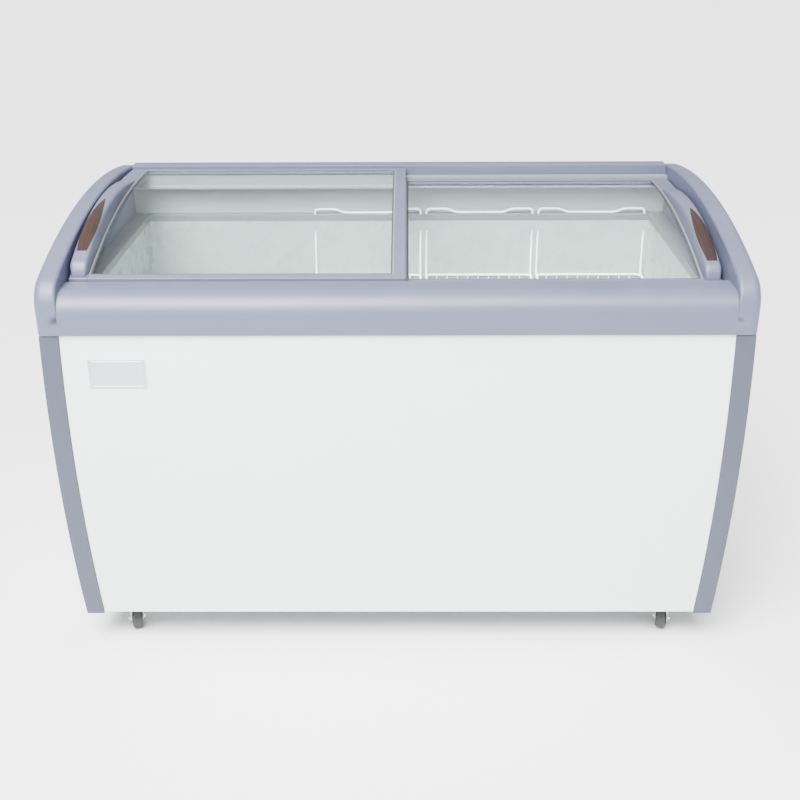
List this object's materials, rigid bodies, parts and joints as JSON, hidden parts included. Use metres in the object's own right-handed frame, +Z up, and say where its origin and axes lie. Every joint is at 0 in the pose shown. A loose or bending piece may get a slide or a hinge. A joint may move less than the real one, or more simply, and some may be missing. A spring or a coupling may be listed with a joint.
{
  "type": "chest freezer",
  "caption": "Glass-top display chest freezer with sliding curved lids, hanging wire baskets and swivel casters.",
  "frame": {"origin": "on the floor, under the middle of the overall bounding box", "axes": "+X to the right as a customer faces the front, +Y towards the back, +Z up"},
  "size_m": [1.29, 0.69, 0.8611],
  "materials": {
    "white_panel": "smooth white coating with a slight gloss",
    "galvanised": "plain galvanised sheet",
    "grey_plastic": "satin moulded plastic, fine grain",
    "track_plastic": "satin extruded plastic",
    "light_plastic": "smooth satin plastic",
    "dark_trim": "satin moulded plastic",
    "liner_sheet": "white coated sheet with a soft sheen",
    "foam": "rigid polyurethane foam",
    "copper": "dull drawn copper tube",
    "plate_silver": "satin, with a raised border and no lettering",
    "black_paint": "black enamel",
    "rubber": "moulded rubber",
    "aluminium_fin": "plain fins",
    "black_plastic": "moulded plastic",
    "zinc": "bright zinc plate",
    "wheel_black": "hard black polymer",
    "lid_glass": "clear toughened glass with a faint green tint",
    "wood_inlay": "wood-grain film under clear lacquer",
    "coated_wire": "white plastic-dipped wire"
  },
  "bodies": {
    "cabinet": {"front_panel": "white_panel", "left_panel": "white_panel", "right_panel": "white_panel", "rear_panel": "galvanised", "base_pan": "galvanised", "front_left_post": "grey_plastic", "front_right_post": "grey_plastic", "rear_left_post": "grey_plastic", "rear_right_post": "grey_plastic", "canopy_frame": "grey_plastic", "rear_rail": "grey_plastic", "front_track": "track_plastic", "rear_track": "track_plastic", "rear_lining": "light_plastic", "ledge_trim": "dark_trim", "liner": "liner_sheet", "insulation_foam": "foam", "evaporator_coil": "copper", "badge_plate": "plate_silver", "thermometer_plate": "light_plastic", "compressor": "black_paint", "compressor_mounts": "rubber", "condenser": "aluminium_fin", "fan_shroud": "galvanised", "fan_motor": "black_paint", "filter_drier": "copper", "refrigerant_lines": "copper", "control_box": "black_plastic", "side_grille": "grey_plastic", "cord_gland": "black_plastic", "drain_tube": "black_plastic", "panel_screws": "zinc", "caster_plates": "zinc", "caster_bolts": "zinc"},
    "fan": {"fan_blade": "light_plastic"},
    "knob": {"thermostat_knob": "light_plastic"},
    "plug": {"drain_plug": "rubber"},
    "left_lid": {"left_lid_frame": "grey_plastic", "left_lid_glass": "lid_glass", "left_lid_grip": "grey_plastic", "left_lid_inlay": "wood_inlay"},
    "right_lid": {"right_lid_frame": "grey_plastic", "right_lid_glass": "lid_glass", "right_lid_grip": "grey_plastic", "right_lid_inlay": "wood_inlay"},
    "basket_right": {"basket_3": "coated_wire"},
    "basket_middle": {"basket_2": "coated_wire"},
    "basket_left": {"basket_1": "coated_wire"},
    "front_left_swivel": {"front_left_fork": "zinc", "front_left_axle": "zinc"},
    "front_right_swivel": {"front_right_fork": "zinc", "front_right_axle": "zinc"},
    "rear_left_swivel": {"rear_left_fork": "zinc", "rear_left_axle": "zinc"},
    "rear_right_swivel": {"rear_right_fork": "zinc", "rear_right_axle": "zinc"},
    "front_left_roller": {"front_left_wheel": "wheel_black"},
    "front_right_roller": {"front_right_wheel": "wheel_black"},
    "rear_left_roller": {"rear_left_wheel": "wheel_black"},
    "rear_right_roller": {"rear_right_wheel": "wheel_black"}
  },
  "joints": [
    {"name": "left_lid_slide", "type": "slide", "parent": "cabinet", "child": "left_lid", "axis": [1, 0, 0], "range_m": [0, 0.53]},
    {"name": "right_lid_slide", "type": "slide", "parent": "cabinet", "child": "right_lid", "axis": [1, 0, 0], "range_m": [-0.53, 0]},
    {"name": "basket_right_slide", "type": "slide", "parent": "cabinet", "child": "basket_right", "axis": [1, 0, 0], "range_m": [-0.12, 0]},
    {"name": "basket_middle_slide", "type": "slide", "parent": "basket_right", "child": "basket_middle", "axis": [1, 0, 0], "range_m": [-0.12, 0]},
    {"name": "basket_left_slide", "type": "slide", "parent": "basket_middle", "child": "basket_left", "axis": [1, 0, 0], "range_m": [-0.12, 0]},
    {"name": "fan_spin", "type": "hinge", "parent": "cabinet", "child": "fan", "pos_m": [0.54, -0.04, 0.188], "axis": [1, 0, 0], "continuous": true},
    {"name": "thermostat_turn", "type": "hinge", "parent": "cabinet", "child": "knob", "pos_m": [0.63, -0.205, 0.224], "axis": [1, 0, 0], "range_deg": [0, 270]},
    {"name": "drain_plug_pull", "type": "slide", "parent": "cabinet", "child": "plug", "axis": [0, 0, 1], "range_m": [0, 0.03]},
    {"name": "front_left_swivel_turn", "type": "hinge", "parent": "cabinet", "child": "front_left_swivel", "pos_m": [-0.546, -0.272, 0.07], "axis": [0, 0, 1], "continuous": true},
    {"name": "front_left_wheel_roll", "type": "hinge", "parent": "front_left_swivel", "child": "front_left_roller", "pos_m": [-0.55216, -0.25509, 0.025], "axis": [0.9397, 0.342, 0], "continuous": true},
    {"name": "front_right_swivel_turn", "type": "hinge", "parent": "cabinet", "child": "front_right_swivel", "pos_m": [0.546, -0.272, 0.07], "axis": [0, 0, 1], "continuous": true},
    {"name": "front_right_wheel_roll", "type": "hinge", "parent": "front_right_swivel", "child": "front_right_roller", "pos_m": [0.55216, -0.25509, 0.025], "axis": [0.9397, -0.342, 0], "continuous": true},
    {"name": "rear_left_swivel_turn", "type": "hinge", "parent": "cabinet", "child": "rear_left_swivel", "pos_m": [-0.546, 0.272, 0.07], "axis": [0, 0, 1], "continuous": true},
    {"name": "rear_left_wheel_roll", "type": "hinge", "parent": "rear_left_swivel", "child": "rear_left_roller", "pos_m": [-0.53984, 0.28891, 0.025], "axis": [0.9397, -0.342, 0], "continuous": true},
    {"name": "rear_right_swivel_turn", "type": "hinge", "parent": "cabinet", "child": "rear_right_swivel", "pos_m": [0.546, 0.272, 0.07], "axis": [0, 0, 1], "continuous": true},
    {"name": "rear_right_wheel_roll", "type": "hinge", "parent": "rear_right_swivel", "child": "rear_right_roller", "pos_m": [0.53984, 0.28891, 0.025], "axis": [0.9397, 0.342, 0], "continuous": true}
  ]
}
